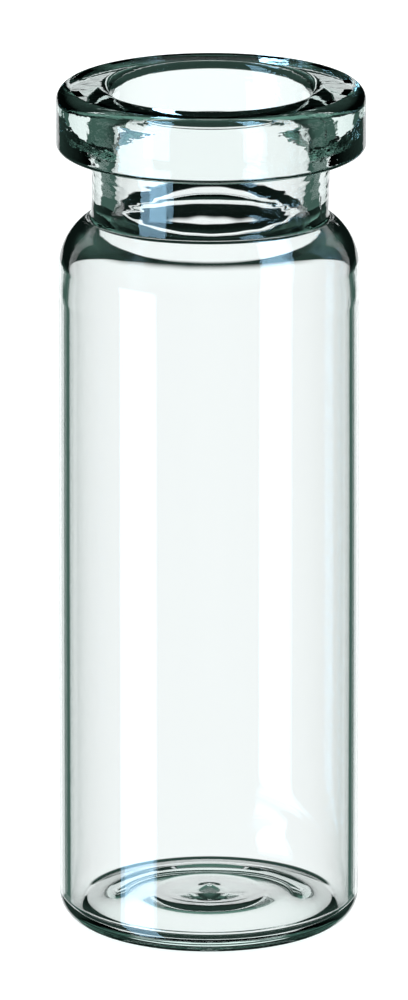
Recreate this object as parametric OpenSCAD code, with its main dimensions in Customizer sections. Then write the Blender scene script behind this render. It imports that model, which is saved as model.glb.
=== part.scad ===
// Crimp-neck sample vial, formed from one piece of glass tube.
// The vial is one revolved section: an outer outline with the hollow taken out of it.
// Every rounding is a true arc, so the faces are planes, cylinders, cones, spheres and tori.
// The origin is the centre of the standing ring, and +Z runs up the vial's axis. Millimetres.

/* [Body] */
// Overall height, from the standing ring to the sealing land
height = 55.75; // [50:0.05:80]
// Outside diameter of the tube
body_d = 19.55; // [19:0.05:23]
// Thickness of the side wall
wall = 0.6; // [0.5:0.05:1.2]

/* [Base] */
// Outside radius of the heel, where the side wall turns into the base
heel_r = 2.15; // [1.6:0.05:2.6]
// Inside radius of the heel
heel_inner_r = 0.5; // [0.3:0.05:1]
// Width of the flat standing ring
ring_w = 0.8; // [0.4:0.05:1.2]
// How far the underside is pushed up at its middle
push_up = 0.95; // [0.6:0.05:1.2]
// Thickness of the glass at the inner foot of the side wall
foot_t = 1.15; // [0.9:0.05:1.4]
// Thickness of the glass at the middle of the base, without the boss
centre_t = 0.9; // [0.8:0.05:1.3]
// Diameter of the low boss left where the tube was closed
boss_d = 8.4; // [6:0.1:9]
// Height of the boss over the middle of the floor
boss_h = 0.3; // [0.15:0.05:0.4]

/* [Shoulder] */
// Outside radius of the shoulder
shoulder_r = 3.8; // [3.4:0.05:4.1]
// Radius of the curve inside the shoulder, between the side wall and the cone
shoulder_inner_r = 3.4; // [2.4:0.1:4]
// Lean of the cone inside the shoulder from the vial's axis, in degrees
cone_deg = 50; // [46:0.5:55]
// Height of the bore's lower edge over the foot of the neck
edge_rise = 0.1; // [-0.4:0.05:0.5]
// Radius of the hollow between the shoulder and the neck
neck_root_r = 0.4; // [0.3:0.05:0.8]
// Radius of the inner edge between the cone and the bore
throat_r = 0.3; // [0.2:0.05:0.8]

/* [Neck] */
// Outside diameter of the neck
neck_d = 15.6; // [15:0.05:16.4]
// Diameter of the bore through the neck and the flange
bore_d = 12.6; // [12:0.05:13.2]
// Height of the neck, from the shoulder's curve to the flange
neck_h = 4.4; // [3:0.1:8]

/* [Crimp flange] */
// Outside diameter of the flange
flange_d = 20; // [19.5:0.05:20.5]
// Height of the flange, from its underside to the sealing land
flange_h = 4.15; // [3.2:0.05:5]
// Radius of the flange's lower edge
flange_low_r = 0.65; // [0.3:0.05:0.9]
// Radius of the flange's upper edge
flange_top_r = 0.6; // [0.3:0.05:0.9]
// Radius of the hollow under the flange
flange_root_r = 0.6; // [0.3:0.05:0.9]
// Radius of the lip's inner edge
lip_r = 0.5; // [0.3:0.05:0.8]

/* [Hidden] */
$fn = 128;

glass = [0.80, 0.92, 0.89, 0.35];
overlap = 0.3;    // how far a shape that is cut off or cut away reaches past its edge
blend = 0.0003;  // how far two arcs that run into each other overlap, so that they cross at a true point

body_r = body_d / 2;
inner_r = body_r - wall;
neck_r = neck_d / 2;
bore_r = bore_d / 2;
flange_r = flange_d / 2;
flange_z = height - flange_h;

// The centres of the heel's arcs, and of the dome that pushes the underside up from the ring's inner edge.
heel_c = [body_r - heel_r, heel_r];
heel_inner_c = [inner_r - heel_inner_r, foot_t + heel_inner_r];
ring_r = heel_c[0] - ring_w;
under_r = (ring_r ^ 2 + push_up ^ 2) / (2 * push_up);
under_c = [0, push_up - under_r];

// The dome of the floor is tangent to the inner heel.
floor_z = push_up + centre_t;
floor_r = dome_radius(heel_inner_c, heel_inner_r - blend, floor_z);
floor_c = [0, floor_z - floor_r];
floor_rim = touch(heel_inner_c, heel_inner_r, floor_c);
boss_z = floor_z + boss_h;
boss_r = dome_radius([boss_d / 2, floor_c[1] + rise(floor_r, boss_d / 2)], 0, boss_z);

// The shoulder's outer arc is tangent to the body and meets the neck's side at the foot of the neck.
shoulder_x = body_r - shoulder_r;
shoulder_c = [shoulder_x, flange_z - neck_h - rise(shoulder_r, max(0, neck_r - shoulder_x))];

// The arc that joins the shoulder to the neck, tangent to both.
// On a wide body the shoulder has a flat crown inside its arc, and the joining arc stands on that.
neck_root_x = neck_r + neck_root_r;
neck_root_under = below(neck_root_x, shoulder_c);
neck_root_c = above(neck_root_x, neck_root_under, shoulder_r + neck_root_r - blend);

// Inside, a cone leads from the bore's edge to a curve that is tangent to it and to the side wall.
// A small arc inside the glass, tangent to the bore and to the cone, rounds the edge between them.
bore_edge = [bore_r, flange_z - neck_h + edge_rise];
cone_normal = [cos(cone_deg), sin(cone_deg)];
shoulder_inner_c = off_cone(inner_r - shoulder_inner_r, blend - shoulder_inner_r);
cone_foot = shoulder_inner_c + (shoulder_inner_r - blend) * cone_normal;
throat_c = off_cone(bore_r + throat_r, throat_r - blend);

// Height gained along an arc of radius r between its centre and the distance x from it.
function rise(r, x) = sqrt(r ^ 2 - x ^ 2);

// The shoulder's centre c, or the point of its crown's level that lies right below x if x is inside c.
function below(x, c) = [min(x, c[0]), c[1]];

// The point at x that lies the distance d from c, above it.
function above(x, c, d) = [x, c[1] + rise(d, x - c[0])];

// The point at x that lies the distance d from the cone, measured into the glass.
function off_cone(x, d) =
    [x, bore_edge[1] + (d - (x - bore_r) * cone_normal[0]) / cone_normal[1]];

// Where the circle of radius r around c meets the one around q: the middle of their overlap.
function touch(c, r, q) = c + (r - blend / 2) * (q - c) / norm(q - c);

// Radius of a dome on the axis with its top at top_z, tangent to the circle of radius r around c.
function dome_radius(c, r, top_z) =
    (c[0] ^ 2 + (c[1] - top_z) ^ 2 - r ^ 2) / (2 * (top_z - c[1] + r));

// The rectangle between a lower left and an upper right corner.
module block(low, high) {
    translate(low)
        square(high - low);
}

// A disc of radius r around c.
module disc(c, r) {
    translate(c)
        circle(r = r);
}

// The quarter of a disc of radius r around c that points away from the axis, upwards or downwards.
module quarter(c, r, up) {
    reach = r + overlap;
    intersection() {
        disc(c, r);
        block([c[0], c[1] - (up ? 0 : reach)], [c[0] + reach, c[1] + (up ? reach : 0)]);
    }
}

// The flange: a ring of glass with a rounded upper and lower edge.
module flange_outline() {
    low_c = [flange_r - flange_low_r, flange_z + flange_low_r];
    top_c = [flange_r - flange_top_r, height - flange_top_r];
    block([0, flange_z], [low_c[0], low_c[1]]);
    block([0, low_c[1]], [flange_r, top_c[1]]);
    block([0, top_c[1]], [top_c[0], height]);
    quarter(low_c, flange_low_r, up = false);
    quarter(top_c, flange_top_r, up = true);
}

// The neck, with the hollow under the flange and the one on the shoulder.
module neck_outline() {
    under_c = [neck_r + flange_root_r, flange_z - flange_root_r];
    foot = touch(neck_root_under, shoulder_r, neck_root_c);
    block([0, shoulder_c[1]], [neck_r, flange_z + overlap]);
    difference() {
        block([neck_r - overlap, under_c[1]], [under_c[0], flange_z]);
        disc(under_c, flange_root_r);
    }
    difference() {
        polygon([[neck_r - overlap, foot[1]], foot, neck_root_c, [neck_r - overlap, neck_root_c[1]]]);
        disc(neck_root_c, neck_root_r);
    }
}

// The body from the heel to the shoulder's curve.
module body_outline() {
    block([0, 0], [heel_c[0], heel_r]);
    block([0, heel_r], [body_r, shoulder_c[1]]);
    block([0, shoulder_c[1]], [shoulder_x, shoulder_c[1] + shoulder_r]);
    quarter(heel_c, heel_r, up = false);
    quarter(shoulder_c, shoulder_r, up = true);
}

// The bore, with the rounded lip at its mouth and the throat at its foot.
module bore_outline() {
    lip_c = [bore_r + lip_r, height - lip_r];
    foot = throat_c - (throat_r - blend) * cone_normal;
    block([0, shoulder_inner_c[1]], [bore_r, height + overlap]);
    difference() {
        block([bore_r - overlap, lip_c[1]], [lip_c[0], height + overlap]);
        disc(lip_c, lip_r);
        block([lip_c[0], height], [flange_r, height + overlap]);
    }
    difference() {
        polygon([[bore_r - overlap, foot[1]], foot, throat_c, [bore_r - overlap, throat_c[1]]]);
        disc(throat_c, throat_r);
    }
}

// The chamber, from the domed floor to the cone inside the shoulder.
module chamber_outline() {
    difference() {
        union() {
            block([0, floor_rim[1]], [floor_rim[0], heel_inner_c[1] + overlap]);
            intersection() {
                disc(heel_inner_c, heel_inner_r);
                block([floor_rim[0] - overlap, 0], [body_r, heel_inner_c[1]]);
            }
            block([0, heel_inner_c[1]], [inner_r, shoulder_inner_c[1]]);
        }
        disc(floor_c, floor_r);
        disc([0, boss_z - boss_r], boss_r);
    }
    quarter(shoulder_inner_c, shoulder_inner_r, up = true);
    polygon([[0, shoulder_inner_c[1]], shoulder_inner_c, cone_foot, bore_edge, [0, bore_edge[1]]]);
}

// The whole glass: one section turned around the axis.
module glass_vial() {
    color(glass)
        rotate_extrude()
            difference() {
                union() {
                    body_outline();
                    neck_outline();
                    flange_outline();
                }
                disc(under_c, under_r);
                chamber_outline();
                bore_outline();
            }
}

glass_vial();
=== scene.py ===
# %% [markdown]
# # A crimp-neck sample vial
# The vial is one piece of clear glass, and glass has no looks of its own: it shows what stands around it,
# bent by its walls. So this lesson has two halves. The first turns the glass from one exact section, because
# a lens is only as good as its surfaces. The second builds the room that the glass bends: a bright window
# behind it, darkness beside it and below its sill, a dim ceiling, and one cool lamp on the left.

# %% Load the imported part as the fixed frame
import math

import bpy
import numpy as np
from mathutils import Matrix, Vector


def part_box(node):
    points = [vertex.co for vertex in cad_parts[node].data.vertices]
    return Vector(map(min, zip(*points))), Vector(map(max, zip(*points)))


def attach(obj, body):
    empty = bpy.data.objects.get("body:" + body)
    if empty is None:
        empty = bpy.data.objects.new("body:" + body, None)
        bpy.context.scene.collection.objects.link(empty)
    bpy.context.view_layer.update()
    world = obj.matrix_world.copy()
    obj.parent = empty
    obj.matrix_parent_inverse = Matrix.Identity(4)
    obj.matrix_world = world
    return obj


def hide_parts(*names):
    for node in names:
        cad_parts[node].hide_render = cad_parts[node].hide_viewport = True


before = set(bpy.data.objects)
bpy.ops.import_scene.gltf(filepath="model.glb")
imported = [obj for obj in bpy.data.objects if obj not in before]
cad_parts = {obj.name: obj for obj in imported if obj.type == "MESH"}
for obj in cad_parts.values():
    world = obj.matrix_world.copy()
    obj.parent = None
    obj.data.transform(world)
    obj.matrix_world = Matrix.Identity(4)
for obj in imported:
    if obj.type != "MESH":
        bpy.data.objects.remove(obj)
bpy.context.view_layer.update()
low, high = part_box("glass_vial")
print("glass_vial is", [round(1000 * (b - a), 2) for a, b in zip(low, high)], "mm")

# %% [markdown]
# ## Sizes
# A glassmaker gives a vial by a few sizes. Each has a name here, so that one change reaches every place that
# it shapes. Everything is in metres, so a millimetre gets a name too. The height and the flange come from
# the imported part, whose box the glass may fill but not leave. A name that ends in _R is a radius, and the
# two slopes are leans from the upright, in degrees.

# %% Sizes of the flange, the neck and the bore
MM = 0.001
BOX_GAP = 0.01 * MM
HEIGHT = high.z
FLANGE_R = high.x - BOX_GAP
FLANGE_Z = HEIGHT - 4.15 * MM
FLANGE_LOW_R = 0.45 * MM
FLANGE_TOP_R = 0.95 * MM
FLANGE_ROOT_R = 0.2 * MM
LIP_R = 0.95 * MM
NECK_R = 7.8 * MM
NECK_FOOT = 47.21 * MM
NECK_ROOT_R = 0.45 * MM
BORE_R = 6.3 * MM
BORE_END = 47.32 * MM
THROAT_R = 2.2 * MM
print("the flange is", round((HEIGHT - FLANGE_Z) / MM, 2), "mm high")

# %% Sizes of the shoulder and the body
SHOULDER_R = 3.75 * MM
SHOULDER_SLOPE = 58.0
CONE_SLOPE = 49.6
CONE_WIDTH = 2.7 * MM
CONE_FOOT_R = 2.7 * MM
CURVE_DROP = 3.2 * MM
CURVE_FOOT_R = 8.6 * MM
BODY_R = 9.775 * MM
WALL = 0.665 * MM
HEEL_R = 1.8 * MM
INNER_R = BODY_R - WALL
print("the body's bore is", round(2 * INNER_R / MM, 2), "mm wide")

# %% [markdown]
# ## The base
# The base was closed in a flame, then pushed up so that the vial stands on a ring. Its glass is thick and
# thin by turns, and that lens draws the dark rings that are seen through the wall. A plain disc would leave
# it empty. Each corner gives its distance from the axis, its height and the radius that rounds it, in
# millimetres.

# %% Corners of the base
UNDERSIDE = [
    (0, 0.54),             # the middle, which sags a little
    (1.4, 0.68, 1.0),      # the rim of the sag
    (3.58, 0.79, 3.5),     # the foot of the highest ring
    (4.61, 0.92, 3.1),     # the highest ring
    (6.86, 0, 5.5),        # the inner edge of the standing ring
]
FLOOR = [
    (8.0, 1.28, 0.43),     # the top of the step at the wall
    (4.28, 2.04, 4.5),     # the crown of the floor
    (2.96, 1.78, 3.6),     # the dip inside the crown
    (0.71, 1.86, 3.3),     # the foot of the pip
    (0, 2.13),             # the top of the pip
]
FOOT_Z = 0.72 * MM
FOOT_R = 0.65 * MM
print("the middle of the base is", round(FLOOR[-1][1] - UNDERSIDE[0][1], 2), "mm thick")

# %% [markdown]
# ## The section as rounded corners
# A tube machine leaves no sharp corner: every turn of the glass is an arc. The section is therefore a list
# of corners, each with the radius that rounds it. Drawing the arcs by hand would need dozens of points, and
# a bevel would only come near them, while a formula gives each point and its exact direction.

# %% Rounding a path
STRIDE = 1.5 * MM
BEND = 7.5
FEWEST_STEPS = 3


def stretch(a, b):
    """Points evenly from a to b, both among them, no further apart than the stride."""
    count = max(1, math.ceil(np.linalg.norm(b - a) / STRIDE))
    return a + (b - a) * np.linspace(0, 1, count + 1)[:, None]


def rounded(corners):
    """A path through the corners (x, z, radius), with its direction at every point.

    At each corner stands an arc tangent to both of its sides. Half the angle between the sides is h. The
    arc starts radius / tan(h) away from the corner on either side, and its centre lies radius / sin(h)
    away on the line that halves the angle. An arc has a step for every BEND degrees."""
    points, ways = [], []
    reached = np.array(corners[0][:2])
    for before, corner, after in zip(corners, corners[1:], corners[2:]):
        here, radius = np.array(corner[:2]), corner[2]
        back, on = (np.array(c[:2]) - here for c in (before, after))
        back, on = back / np.linalg.norm(back), on / np.linalg.norm(on)
        half = math.acos(np.dot(back, on)) / 2
        centre = here + (back + on) / np.linalg.norm(back + on) * radius / math.sin(half)
        first, last = (here + way * radius / math.tan(half) - centre for way in (back, on))
        start, end = (math.atan2(p[1], p[0]) for p in (first, last))
        turn = (end - start + math.pi) % (2 * math.pi) - math.pi
        steps = max(FEWEST_STEPS, math.ceil(abs(math.degrees(turn)) / BEND))
        a = start + turn * np.linspace(0, 1, steps + 1)
        straight = stretch(reached, centre + first)[:-1]
        points.extend(straight)
        ways.extend([-back] * len(straight))
        points.extend(centre + radius * np.column_stack([np.cos(a), np.sin(a)]))
        ways.extend(math.copysign(1, turn) * np.column_stack([-np.sin(a), np.cos(a)]))
        reached = centre + last
    straight = stretch(reached, np.array(corners[-1][:2]))[1:]
    points, ways = np.array([*points, *straight]), np.array([*ways, *[on] * len(straight)])
    return points, ways


# %% [markdown]
# ## One path round the glass
# The path runs from the middle of the underside, out round the heel, up the wall, over the shoulder, neck
# and flange, in over the lip and down the inside to the middle of the floor. Inside the shoulder a cone
# leads from the bore to a long curve. This hidden part does the most to the light.

# %% The corners of the section
def down_slope(x, z, out, slope):
    """The point that lies out further from the axis, down a line that leans by slope from the upright."""
    return x + out, z - out / math.tan(math.radians(slope))


def in_metres(corners):
    """Corners given in millimetres, each size times a millimetre."""
    return [tuple(size * MM for size in corner) for corner in corners]


shoulder = down_slope(NECK_R, NECK_FOOT, BODY_R - NECK_R, SHOULDER_SLOPE)
cone_foot = down_slope(BORE_R, BORE_END, CONE_WIDTH, CONE_SLOPE)
section, ways = rounded([
    *in_metres(UNDERSIDE),
    (BODY_R, 0, HEEL_R),
    (*shoulder, SHOULDER_R),
    (NECK_R, NECK_FOOT, NECK_ROOT_R),
    (NECK_R, FLANGE_Z, FLANGE_ROOT_R),
    (FLANGE_R, FLANGE_Z, FLANGE_LOW_R),
    (FLANGE_R, HEIGHT, FLANGE_TOP_R),
    (BORE_R, HEIGHT, LIP_R),
    (BORE_R, BORE_END, THROAT_R),
    (*cone_foot, CONE_FOOT_R),
    (INNER_R, cone_foot[1] - CURVE_DROP, CURVE_FOOT_R),
    (INNER_R, FOOT_Z, FOOT_R),
    *in_metres(FLOOR),
])
print("the section has", len(section), "points")

# %% [markdown]
# ## How drawn glass differs from true
# Drawn tube is never quite round. Its radius swells slowly by a few thousandths of a millimetre, with finer
# marks where tools worked the hot glass, and the bore there is streaked along its length. The neck was drawn
# in a little, and the body stands a little off the flange's axis. Each ripple is a sum of cosines, which
# closes on itself round the axis.

# %% Ripples and shifts
SWELL = 0.004 * MM
SWELL_BENDS = 5
TOOL_MARK = 0.0009 * MM
STREAK = 0.002 * MM
STREAK_SWAY = 0.12
STREAK_SWAYS_PER_M = 1700
SWELL_ORDERS, TOOL_ORDERS, STREAK_ORDERS = range(2, 5), range(3, 12), range(9, 26)
WORKED = (43 * MM, 47 * MM)              # heights from which the tools' marks begin, and are whole
WIDEST = (9.8 * MM, 9.3 * MM)            # radii between which the ripples begin
TAPER, TAPER_FROM = 0.05 * MM, (20 * MM, 46 * MM)
DRAWN_IN, DRAWN_IN_FROM = 0.1 * MM, (43 * MM, 47.5 * MM)
TRUE_FLANGE = (51.4 * MM, 49.5 * MM)     # heights between which the glass is back at its true radius
RUNOUT, RUNOUT_FROM = 0.14 * MM, (52 * MM, 44 * MM)
BORE_RUNOUT, BORE_RUNOUT_FROM = 0.025 * MM, (54 * MM, 46 * MM)


def smooth_step(x, start, end):
    """0 before start, 1 after end, and 3t^2 - 2t^3 between them."""
    t = np.clip((x - start) / (end - start), 0, 1)
    return t * t * (3 - 2 * t)


def ripple(angle, orders, size, seed):
    """Sum over the orders k of size / sqrt(k) * cos(k * angle + a phase of its own)."""
    phases = np.random.default_rng(seed).uniform(0, 2 * math.pi, len(orders))
    waves = [np.cos(k * angle + p) / math.sqrt(k) for k, p in zip(orders, phases)]
    return size * np.sum(waves, axis=0)


def drawn_glass(r, z, inside, angle):
    """What is added to the radius: ripples, less at the widest edge, and the taper towards the neck."""
    worked = smooth_step(z, *WORKED)
    slow = ripple(angle, SWELL_ORDERS, SWELL, 1) * np.sin(z / HEIGHT * SWELL_BENDS)
    tooled = worked * ripple(angle, TOOL_ORDERS, TOOL_MARK, 2)
    sway = STREAK_SWAY * np.sin(z * STREAK_SWAYS_PER_M)
    streaks = worked * inside * ripple(angle + sway, STREAK_ORDERS, STREAK, 3)
    narrowed = TAPER * smooth_step(z, *TAPER_FROM) + DRAWN_IN * smooth_step(z, *DRAWN_IN_FROM)
    return (slow + tooled + streaks) * smooth_step(r, *WIDEST) - narrowed * smooth_step(z, *TRUE_FLANGE)


def runout(z, inside):
    """How far a ring lies aside: the body most, the neck between it and the flange, the bore less."""
    bore = BORE_RUNOUT * inside * smooth_step(z, *BORE_RUNOUT_FROM)
    return bore - RUNOUT * smooth_step(z, *RUNOUT_FROM)


print("the body stands", round(RUNOUT / MM, 3), "mm off the flange's axis")

# %% [markdown]
# ## Turning the section
# The glass is a surface of two parameters: how far along the section, and how far round the axis. A lathe or
# screw modifier would turn it too, but it would guess the normals from flat facets, and a lens shows every
# facet. Here each normal is worked out from the surface's own two directions.

# %% The turned surface
TURNS = 256
HAIR = 1e-9


def turned(points, ways):
    """Vertices and normals of the points (r, z) turned round the axis, with both ends on the axis.

    A ring's point at an angle is (radius * cos + aside, radius * sin, z), where the radius is r and what
    drawn_glass adds. A normal is the cross product of the way round and the way along the section. The
    last point of an arc is also the first of what follows, so a hair keeps the lengths along rising."""
    angle = np.linspace(0, 2 * math.pi, TURNS, endpoint=False)
    r, z = points[1:-1, :1], points[1:-1, 1:]
    inside = np.arange(len(points))[1:-1, None] > np.argmax(points[:, 1] > HEIGHT - HAIR)
    extra = drawn_glass(r, z, inside, angle)
    radius = r + extra
    steps = np.linalg.norm(np.diff(points[1:-1], axis=0), axis=1)
    along = np.cumsum(np.r_[0, steps]) + HAIR * np.arange(len(r))
    out_way, up_way = ways[1:-1, :1] + np.gradient(extra, along, axis=0), ways[1:-1, 1:] + 0 * angle
    growth = (np.roll(radius, -1, axis=1) - np.roll(radius, 1, axis=1)) * TURNS / (4 * math.pi)
    section_way = np.stack([out_way * np.cos(angle), out_way * np.sin(angle), up_way], axis=-1)
    round_way = np.stack([growth * np.cos(angle) - radius * np.sin(angle),
                          growth * np.sin(angle) + radius * np.cos(angle), 0 * radius], axis=-1)
    normals = np.cross(round_way, section_way)
    normals /= np.linalg.norm(normals, axis=-1, keepdims=True)
    aside = runout(z, inside)
    rings = np.stack([radius * np.cos(angle) + aside, radius * np.sin(angle), z + 0 * angle], axis=-1)
    poles = [[aside[0, 0], 0, points[0, 1]], [aside[-1, 0], 0, points[-1, 1]]]
    return (np.vstack([rings.reshape(-1, 3), poles]),
            np.vstack([normals.reshape(-1, 3), [[0, 0, -1], [0, 0, 1]]]))


def turned_faces(rows):
    """Quads between the rings, and a fan of triangles at either end."""
    here = np.arange(rows * TURNS).reshape(rows, TURNS)
    after = np.roll(here, -1, axis=1)
    quads = np.stack([here[:-1], after[:-1], after[1:], here[1:]], axis=-1).reshape(-1, 4)
    bottom, top = np.full(TURNS, rows * TURNS), np.full(TURNS, rows * TURNS + 1)
    under = np.stack([bottom, after[0], here[0]], axis=-1)
    over = np.stack([top, here[-1], after[-1]], axis=-1)
    return quads.tolist() + under.tolist() + over.tolist()


# %% The glass as a piece
def add_piece(name, vertices, faces):
    """An object of that name with a mesh of the vertices and faces."""
    mesh = bpy.data.meshes.new(name)
    mesh.from_pydata(vertices, [], faces)
    mesh.validate()
    piece = bpy.data.objects.new(name, mesh)
    bpy.context.scene.collection.objects.link(piece)
    return piece


vertices, normals = turned(section, ways)
vial = add_piece("vial_glass", vertices, turned_faces(len(section) - 2))
vial.data.shade_smooth()
vial.data.normals_split_custom_set_from_vertices(normals)
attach(vial, "root")
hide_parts("glass_vial")
print("vial_glass has", len(vial.data.polygons), "faces")

# %% [markdown]
# ## Shader maths as expressions
# The glass and the room need sums and products of shader values. A wrapped socket lets them be written as
# Python writes them, and one method adds every node, so that a material reads like a recipe.

# %% A node tree and the values in it
class Shader:
    """A node tree, emptied."""

    def __init__(self, owner):
        owner.use_nodes = True
        self.tree = owner.node_tree
        self.tree.nodes.clear()

    def node(self, kind, *sources, settings=None, **inputs):
        """Adds a node: its settings first, then its inputs in order, or by name with _ for a space."""
        made = self.tree.nodes.new("ShaderNode" + kind)
        for key, setting in (settings or {}).items():
            setattr(made, key, setting)
        named = [(made.inputs[key.replace("_", " ")], source) for key, source in inputs.items()]
        for socket, source in [*zip(made.inputs, sources), *named]:
            self.connect(source, socket)
        return made

    def connect(self, source, socket):
        """Links a value, an output or a node's first output to the socket, or writes a constant into it."""
        if isinstance(source, Value):
            source = source.socket
        elif isinstance(source, bpy.types.Node):
            source = source.outputs[0]
        if isinstance(source, bpy.types.NodeSocket):
            self.tree.links.new(source, socket)
        else:
            socket.default_value = source

    def math(self, operation, *operands):
        """A Math node's result."""
        return Value(self, self.node("Math", *operands, settings={"operation": operation}).outputs[0])

    def parts(self, vector):
        """The three parts of a vector."""
        return [Value(self, output) for output in self.node("SeparateXYZ", vector).outputs]

    def ray(self, question):
        """What a Light Path node says of the ray."""
        return Value(self, self.node("LightPath").outputs[question])


class Value:
    """A shader value: arithmetic on it adds the Math nodes that do the same."""

    def __init__(self, shader, socket):
        self.shader, self.socket = shader, socket

    def __add__(self, other):
        return self.shader.math("ADD", self, other)

    def __radd__(self, other):
        return self.shader.math("ADD", other, self)

    def __sub__(self, other):
        return self.shader.math("SUBTRACT", self, other)

    def __rsub__(self, other):
        return self.shader.math("SUBTRACT", other, self)

    def __mul__(self, other):
        return self.shader.math("MULTIPLY", self, other)

    def __rmul__(self, other):
        return self.shader.math("MULTIPLY", other, self)

    def __truediv__(self, other):
        return self.shader.math("DIVIDE", self, other)

    def __rtruediv__(self, other):
        return self.shader.math("DIVIDE", other, self)

    def __gt__(self, other):
        return self.shader.math("GREATER_THAN", self, other)

    def __abs__(self):
        return self.shader.math("ABSOLUTE", self)

    def rise(self, start, end):
        """Goes smoothly from 0 at start to 1 at end; end may be the lower one."""
        first, last = (0, 1) if start < end else (1, 0)
        made = self.shader.node("MapRange", settings={"interpolation_type": "SMOOTHSTEP"}, Value=self,
                                From_Min=min(start, end), From_Max=max(start, end), To_Min=first, To_Max=last)
        return Value(self.shader, made.outputs[0])


# %% [markdown]
# ## The finish of the glass
# Clear lab glass is smooth, but not true: fine lines run along drawn tube, tools leave rings on the neck, and
# the pressed flange is wrinkled at its sides. They are far too low for the mesh, so a bump carries them. Each
# is a noise that is stretched round the glass or along it.

# %% Bump of the glass
FLANGE_STEP = (51.2 * MM, 51.9 * MM)
NECK_START = (46.2 * MM, 48.0 * MM)
SIDES = (2.5 * MM, 5.2 * MM)
LINE_HEIGHT = 0.6e-6
RING_HEIGHT, RING_AT_SIDES = 0.6e-6, 32e-6
WRINKLE_HEIGHT, WRINKLE_AT_SIDES = 2e-6, 24e-6

glass = bpy.data.materials.new("clear_glass")
pane = Shader(glass)
x, y, z = pane.parts(pane.node("TexCoord").outputs["Object"])


def waves(around, along, detail):
    """Noise from 0 to 1 with one swell in so many metres round the glass and along it."""
    spot = pane.node("CombineXYZ", X=x / around, Y=y / around, Z=z / along)
    return Value(pane, pane.node("TexNoise", Vector=spot, Scale=1.0, Detail=detail).outputs[0])


drawn_lines = waves(1.6 * MM, 30 * MM, 2.0)
tool_rings = waves(1.6 * MM, 0.6 * MM, 1.0)
wrinkles = waves(1.1 * MM, 0.6 * MM, 2.0)
flange = z.rise(*FLANGE_STEP)
neck = z.rise(*NECK_START) * z.rise(*reversed(FLANGE_STEP))
sides = abs(x).rise(*SIDES)
height = drawn_lines * LINE_HEIGHT + neck * tool_rings * (sides * RING_AT_SIDES + RING_HEIGHT)
height = height + flange * wrinkles * (sides * WRINKLE_AT_SIDES + WRINKLE_HEIGHT)
bump = pane.node("Bump", Strength=1.0, Distance=1.0, Height=height)
print("the highest bump is", round(RING_AT_SIDES / MM, 3), "mm")

# %% [markdown]
# ## The glass itself
# The glass bends light with an index of 1.49. Its faint blue-green comes from the length of glass that light
# goes through, so it is absorbed in the volume: thick edges turn green and the thin wall stays clear. Its
# shadow would be black without caustics, so shadow rays pass straight through, with a slight tint.

# %% Glass material
GLASS_IOR = 1.49
MOST_HAZE, HAZE_PATCHES = 0.02, (0.55, 0.85)
DENSITY = 22.0
GLASS_TINT = (0.45, 0.88, 0.78, 1)
SHADOW_TINT = (0.93, 0.97, 0.96, 1)
haze = waves(6 * MM, 12 * MM, 3.0).rise(*HAZE_PATCHES) * MOST_HAZE
surface = pane.node("BsdfPrincipled", Base_Color=(1, 1, 1, 1), Roughness=haze, IOR=GLASS_IOR,
                    Transmission_Weight=1.0, Normal=bump)
clear = pane.node("BsdfTransparent", Color=SHADOW_TINT)
absorb = pane.node("VolumeAbsorption", Color=GLASS_TINT, Density=DENSITY)
shaded = pane.node("MixShader", pane.ray("Is Shadow Ray"), surface, clear)
pane.node("OutputMaterial", Surface=shaded, Volume=absorb)
vial.data.materials.append(glass)
print("clear_glass has", len(glass.node_tree.nodes), "nodes")

# %% [markdown]
# ## The room
# Glass on white is lit from behind. A bright window fills the view straight through it, and what is dark
# beside the window draws its edges. The room is a formula in the world, of the direction in which a ray
# leaves: its azimuth from straight behind the vial, and its elevation. Cards would do too, but a formula
# gives soft edges with no pieces. Each pair of degrees says where a thing begins and where it is whole.

# %% Directions and limits of the room
DEGREES = 180 / math.pi
WINDOW_SIDE = (26.0, 22.0)      # azimuth of the window's sides, for reflected rays
WINDOW_HEAD = (-6.0, -8.2)      # elevation of its upper edge
WINDOW_SILL = (-33.0, -30.0)    # elevation of its lower edge
AHEAD = (46, 38)                # azimuth within which straight rays meet the window's head
HEAD_BESIDE = (6, -2)           # elevation of the bright part beside that
BENCH_SIDE = (34, 26)           # azimuth of the dark bench below the sill
BENCH_NEAR = (-76, -70)         # elevation of its near edge
WALL_SIDE = (80, 50)            # azimuth of the dim walls
WALL_HEAD = (-6, -10)           # elevation of their upper edge
CEILING = (12, 32)              # elevation of the ceiling
LAMP_AZIMUTH, LAMP_SIDE = -122.5, (15, 14)
LAMP_ELEVATION, LAMP_END = -26, (27, 24)

world = bpy.data.worlds.new("studio")
bpy.context.scene.world = world
room = Shader(world)
across, away, up = room.parts(room.node("TexCoord").outputs["Generated"])
azimuth = room.math("ARCTAN2", across, away) * DEGREES
elevation = room.math("ARCSINE", up) * DEGREES
side = abs(azimuth)
print("the window is", 2 * WINDOW_SIDE[0], "degrees wide at most")

# %% [markdown]
# ## The window
# A ray that the glass has reflected is more often turned far aside, and a wide window would wash out the
# dark lines that it draws. So reflected rays meet the window as it is, and straight ones a wider one, as a
# bright room gives, so that the vial is clear from most sides.

# %% Window and lamp
reflected = room.ray("Glossy Depth") > 0.5
ahead = side.rise(*AHEAD)
below_head = elevation.rise(*WINDOW_HEAD)
above_sill = elevation.rise(*WINDOW_SILL)
bench = side.rise(*BENCH_SIDE) * elevation.rise(*BENCH_NEAR) * (1 - above_sill)
narrow = side.rise(*WINDOW_SIDE) * below_head * above_sill
wide = (ahead * below_head + (1 - ahead) * elevation.rise(*HEAD_BESIDE)) * (1 - bench)
window = reflected * narrow + (1 - reflected) * wide
lamp = abs(azimuth - LAMP_AZIMUTH).rise(*LAMP_SIDE) * abs(elevation - LAMP_ELEVATION).rise(*LAMP_END)
print("the lamp is", 2 * LAMP_SIDE[0], "degrees wide at most")

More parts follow.
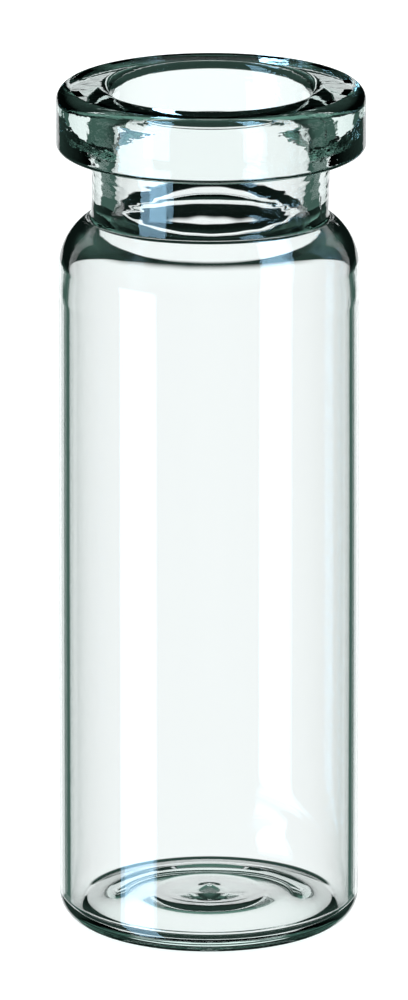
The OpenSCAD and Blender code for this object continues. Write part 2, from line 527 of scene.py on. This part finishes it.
# %% Light of the room
DARKEST = 0.007
WINDOW_LIGHT = 1.1
FILL_LIGHT = 0.5
CEILING_LIGHT = 0.3
WALL_LIGHT, WALL_LIGHT_ABOVE_SILL = 0.03, 0.08
LAMP_LIGHT = 7.5
ROOM_TEAL = (0.5, 1.0, 0.83, 1)
WINDOW_WHITE = (0.965, 1, 1, 1)
LAMP_BLUE = (0.42, 0.74, 1.0, 1)

camera_ray = room.ray("Is Camera Ray")
diffuse_ray = room.ray("Is Diffuse Ray")
sharp = 1 - diffuse_ray
bright = camera_ray + (1 - camera_ray) * (diffuse_ray * FILL_LIGHT + sharp * window * WINDOW_LIGHT)
walls = elevation.rise(*WALL_HEAD) * side.rise(*WALL_SIDE) * (1 - window)
wall_light = walls * (above_sill * WALL_LIGHT_ABOVE_SILL + WALL_LIGHT)
dim = wall_light + DARKEST + elevation.rise(*CEILING) * CEILING_LIGHT
teal = room.node("Background", Color=ROOM_TEAL, Strength=(1 - camera_ray) * sharp * dim)
white = room.node("Background", Color=WINDOW_WHITE, Strength=bright)
cool = room.node("Background", Color=LAMP_BLUE, Strength=lamp * reflected * sharp * LAMP_LIGHT)
lit_room = room.node("AddShader", room.node("AddShader", teal, white), cool)
room.node("OutputWorld", Surface=lit_room)
print("the room has", len(world.node_tree.nodes), "nodes")

# %% [markdown]
# ## The floor
# The vial stands on white paper that runs on without an edge. The paper glows a little, so that it is
# as white as the background, and still takes the vial's shadow. Rays that come through the glass pass the
# paper and meet the room, whose formula already says what is bright and what is dark below.

# %% Floor
FLOOR_HALF = 6.0
FLOOR_Z = -0.02 * MM
PAPER_GLOW = 0.6
PAPER_WHITE = (0.8, 0.8, 0.8, 1)

signs = np.array([(-1, -1), (1, -1), (1, 1), (-1, 1)])
floor_piece = add_piece("floor", np.column_stack([FLOOR_HALF * signs, np.full(4, FLOOR_Z)]), [(0, 1, 2, 3)])
paper = bpy.data.materials.new("floor_paper")
sheet = Shader(paper)
seen_or_lit = sheet.math("MAXIMUM", sheet.ray("Is Camera Ray"), sheet.ray("Is Diffuse Ray"))
solid = sheet.math("MAXIMUM", seen_or_lit, sheet.ray("Is Shadow Ray"))
matt = sheet.node("BsdfDiffuse", Color=PAPER_WHITE)
glow = sheet.node("Emission", Color=(1, 1, 1, 1), Strength=PAPER_GLOW)
white_paper = sheet.node("AddShader", matt, glow)
passed = sheet.node("BsdfTransparent")
sheet.node("OutputMaterial", Surface=sheet.node("MixShader", solid, passed, white_paper))
floor_piece.data.materials.append(paper)
print("the floor is", 2 * FLOOR_HALF, "m wide")

# %% [markdown]
# ## Overhead panel
# A broad soft panel overhead gives the paper its light and the vial its faint shadow. The glass doesn't
# show it, because the room's window and lamp already draw every highlight.

# %% Panel
PANEL_SIZE = 0.8
PANEL_POWER = 6.0
PANEL_PLACE = Vector((0, -0.1, 0.9))
PANEL_AIM = Vector((0, 0, 0.02))

light = bpy.data.lights.new("overhead_panel", "AREA")
light.shape = "RECTANGLE"
light.size = PANEL_SIZE
light.size_y = PANEL_SIZE
light.energy = PANEL_POWER
panel = bpy.data.objects.new("overhead_panel", light)
bpy.context.scene.collection.objects.link(panel)
panel.location = PANEL_PLACE
panel.rotation_euler = (PANEL_AIM - PANEL_PLACE).to_track_quat("-Z", "Y").to_euler()
panel.visible_glossy = False
panel.visible_transmission = False
print("the panel hangs", round(PANEL_PLACE.z, 2), "m up")

# %% [markdown]
# ## Camera
# A long lens from a good arm's length keeps the two sides of the body nearly parallel. It looks down a
# little, so that the mouth and the base show as ellipses. Its focal length is given in pixels, of which the
# picture's height has a thousand.

# %% Camera
FOCAL_PX = 11345.75
PICTURE_HEIGHT_PX = 1000
SENSOR = 36.0
CAMERA_PLACE = (-0.46 * MM, -709.2 * MM, 225.7 * MM)
CAMERA_DOWN = 15.568
NEAREST, FURTHEST = 0.01, 50

lens = bpy.data.cameras.new("camera")
lens.sensor_width = SENSOR
lens.lens = FOCAL_PX / PICTURE_HEIGHT_PX * SENSOR
lens.clip_start = NEAREST
lens.clip_end = FURTHEST
camera = bpy.data.objects.new("camera", lens)
bpy.context.scene.collection.objects.link(camera)
camera.location = CAMERA_PLACE
camera.rotation_euler = (math.radians(90 - CAMERA_DOWN), 0, 0)
bpy.context.scene.camera = camera
bpy.context.scene.view_settings.view_transform = "Standard"
print("the lens is", round(lens.lens, 1), "mm long")
